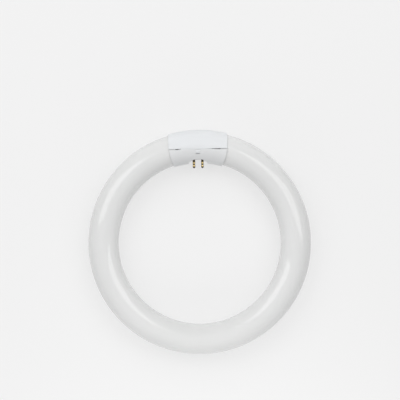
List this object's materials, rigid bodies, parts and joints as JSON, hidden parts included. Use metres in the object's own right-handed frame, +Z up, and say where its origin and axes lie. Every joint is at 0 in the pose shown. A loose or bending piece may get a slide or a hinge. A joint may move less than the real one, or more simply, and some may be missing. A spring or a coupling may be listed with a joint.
{
  "type": "circular fluorescent tube",
  "caption": "Circular fluorescent lamp: a white coated glass tube bent into a ring, its ends held in a snap-together plastic base with brass contact pins facing the middle.",
  "frame": {"origin": "on the ring's axis, at the height of the surface that the lamp lies on, which is the underside of its base", "axes": "+Z up along the ring's axis, +Y from the middle of the ring to the base, -Y the way the contact pins point"},
  "size_m": [0.2096, 0.211, 0.0314],
  "materials": {
    "coated_glass": "smooth clear glass over a matt white coating",
    "base_plastic": "moulded white plastic, smooth",
    "pin_brass": "turned, lightly polished",
    "lead_metal": "drawn nickel-plated wire",
    "sleeve_fibre": "woven glass-fibre sleeving"
  },
  "bodies": {
    "root": {"glass_tube": "coated_glass", "base_outer_half": "base_plastic", "base_inner_half": "base_plastic", "contact_pin_upper_left": "pin_brass", "contact_pin_upper_right": "pin_brass", "contact_pin_lower_left": "pin_brass", "contact_pin_lower_right": "pin_brass", "lead_wire_upper_left": "lead_metal", "lead_wire_upper_right": "lead_metal", "lead_wire_lower_left": "lead_metal", "lead_wire_lower_right": "lead_metal", "wire_sleeve_upper_left": "sleeve_fibre", "wire_sleeve_upper_right": "sleeve_fibre", "wire_sleeve_lower_left": "sleeve_fibre", "wire_sleeve_lower_right": "sleeve_fibre"}
  },
  "joints": []
}
